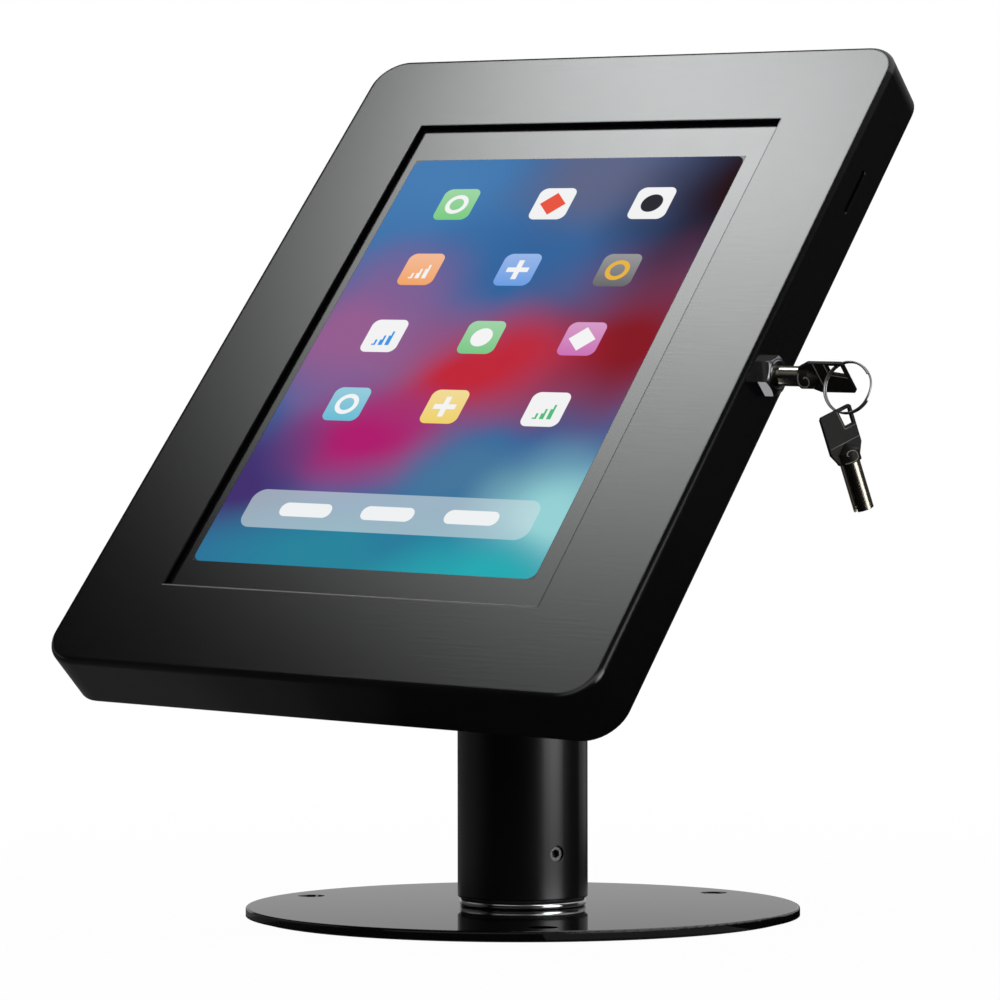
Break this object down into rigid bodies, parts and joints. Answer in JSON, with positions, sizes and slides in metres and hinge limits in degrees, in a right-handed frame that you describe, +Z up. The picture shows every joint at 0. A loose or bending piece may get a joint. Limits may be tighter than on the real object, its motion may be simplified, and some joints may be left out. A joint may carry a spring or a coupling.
{
  "type": "tablet kiosk stand",
  "caption": "Counter stand with a round base and post that holds a tablet in a lockable sheet metal case, which tilts, turns and opens with a key.",
  "frame": {"origin": "middle of the underside of the foot pad, on the post axis", "axes": "+Z up along the post, the screen faces -Y, +X to the right of a person in front of the screen"},
  "size_m": [0.302, 0.251, 0.3479],
  "materials": {
    "gloss_black": "gloss black powder coat",
    "satin_black": "satin black powder coat",
    "case_black": "fine textured black powder coat",
    "rubber": "matt",
    "foam": "soft foam",
    "chrome": "bright plated",
    "dark_steel": "black oxide",
    "plain_steel": "zinc plated",
    "nylon": "smooth",
    "bracket_plastic": "fine grain",
    "tablet_shell": "satin anodised",
    "tablet_glass": "gloss black border",
    "tablet_display": "gloss",
    "lock_nickel": "nickel plated",
    "key_nickel": "nickel plated",
    "key_black": "semi gloss black",
    "ring_nickel": "nickel plated wire"
  },
  "bodies": {
    "base": {"base_plate": "gloss_black", "base_pad": "rubber", "base_hub": "chrome", "hub_screws": "dark_steel", "swivel_washer": "nylon"},
    "post": {"post_tube": "satin_black", "post_set_screw": "dark_steel", "post_head": "satin_black", "post_head_screws": "dark_steel", "tilt_bolt": "dark_steel", "tilt_nut": "dark_steel", "tilt_washers": "nylon"},
    "neck": {"tilt_knuckle": "satin_black", "turn_washer": "nylon", "stop_pin": "plain_steel", "pivot_washer": "plain_steel", "pivot_nut": "plain_steel"},
    "tray": {"back_tray": "satin_black", "cable_grommet": "rubber", "tablet_brackets": "bracket_plastic", "bracket_screws": "dark_steel", "foam_pads": "foam", "lock_catch": "plain_steel", "tray_hinge_leaves": "satin_black", "hinge_pins": "plain_steel", "tablet_body": "tablet_shell", "tablet_glass": "tablet_glass", "tablet_display": "tablet_display"},
    "cover": {"front_cover": "case_black", "window_seal": "foam", "cover_hinge_leaves": "satin_black", "lock_collar": "chrome", "lock_barrel": "lock_nickel", "lock_nut": "lock_nickel"},
    "core": {"lock_core": "lock_nickel", "lock_cam": "plain_steel", "cam_screw": "dark_steel"},
    "key": {"key_tube": "key_nickel", "key_bow": "key_black"},
    "ring": {"key_ring": "ring_nickel"},
    "spare_key": {"spare_key_tube": "key_nickel", "spare_key_bow": "key_black"}
  },
  "joints": [
    {"name": "post_swivel", "type": "hinge", "parent": "base", "child": "post", "pos_m": [0, 0, 0.0076], "axis": [0, 0, 1], "continuous": true},
    {"name": "head_tilt", "type": "hinge", "parent": "post", "child": "neck", "pos_m": [0, 0, 0.1908], "axis": [-1, 0, 0], "range_deg": [-15, 49.6]},
    {"name": "head_turn", "type": "hinge", "parent": "neck", "child": "tray", "pos_m": [0, -0.01607, 0.20447], "axis": [0, -0.7615, 0.6481], "range_deg": [-1.7, 93.3]},
    {"name": "cover_open", "type": "hinge", "parent": "tray", "child": "cover", "pos_m": [-0.123, -0.00968, 0.20835], "axis": [-0.0576, -0.647, -0.7603], "range_deg": [0, 100]},
    {"name": "lock_turn", "type": "hinge", "parent": "cover", "child": "core", "pos_m": [0.12379, -0.02991, 0.20688], "axis": [-0.9983, 0.0373, 0.0438], "range_deg": [-90, 0]},
    {"name": "key_pull", "type": "slide", "parent": "core", "child": "key", "axis": [0.9983, -0.0373, -0.0438], "range_m": [0, 0.02]},
    {"name": "ring_swing", "type": "hinge", "parent": "key", "child": "ring", "pos_m": [0.15993, -0.03484, 0.20834], "axis": [-0.9993, 0.0373, 0], "range_deg": [0, 45]},
    {"name": "spare_key_swing", "type": "hinge", "parent": "ring", "child": "spare_key", "pos_m": [0.15985, -0.03712, 0.19215], "axis": [0.9993, -0.0373, 0], "range_deg": [-40, 40]}
  ]
}
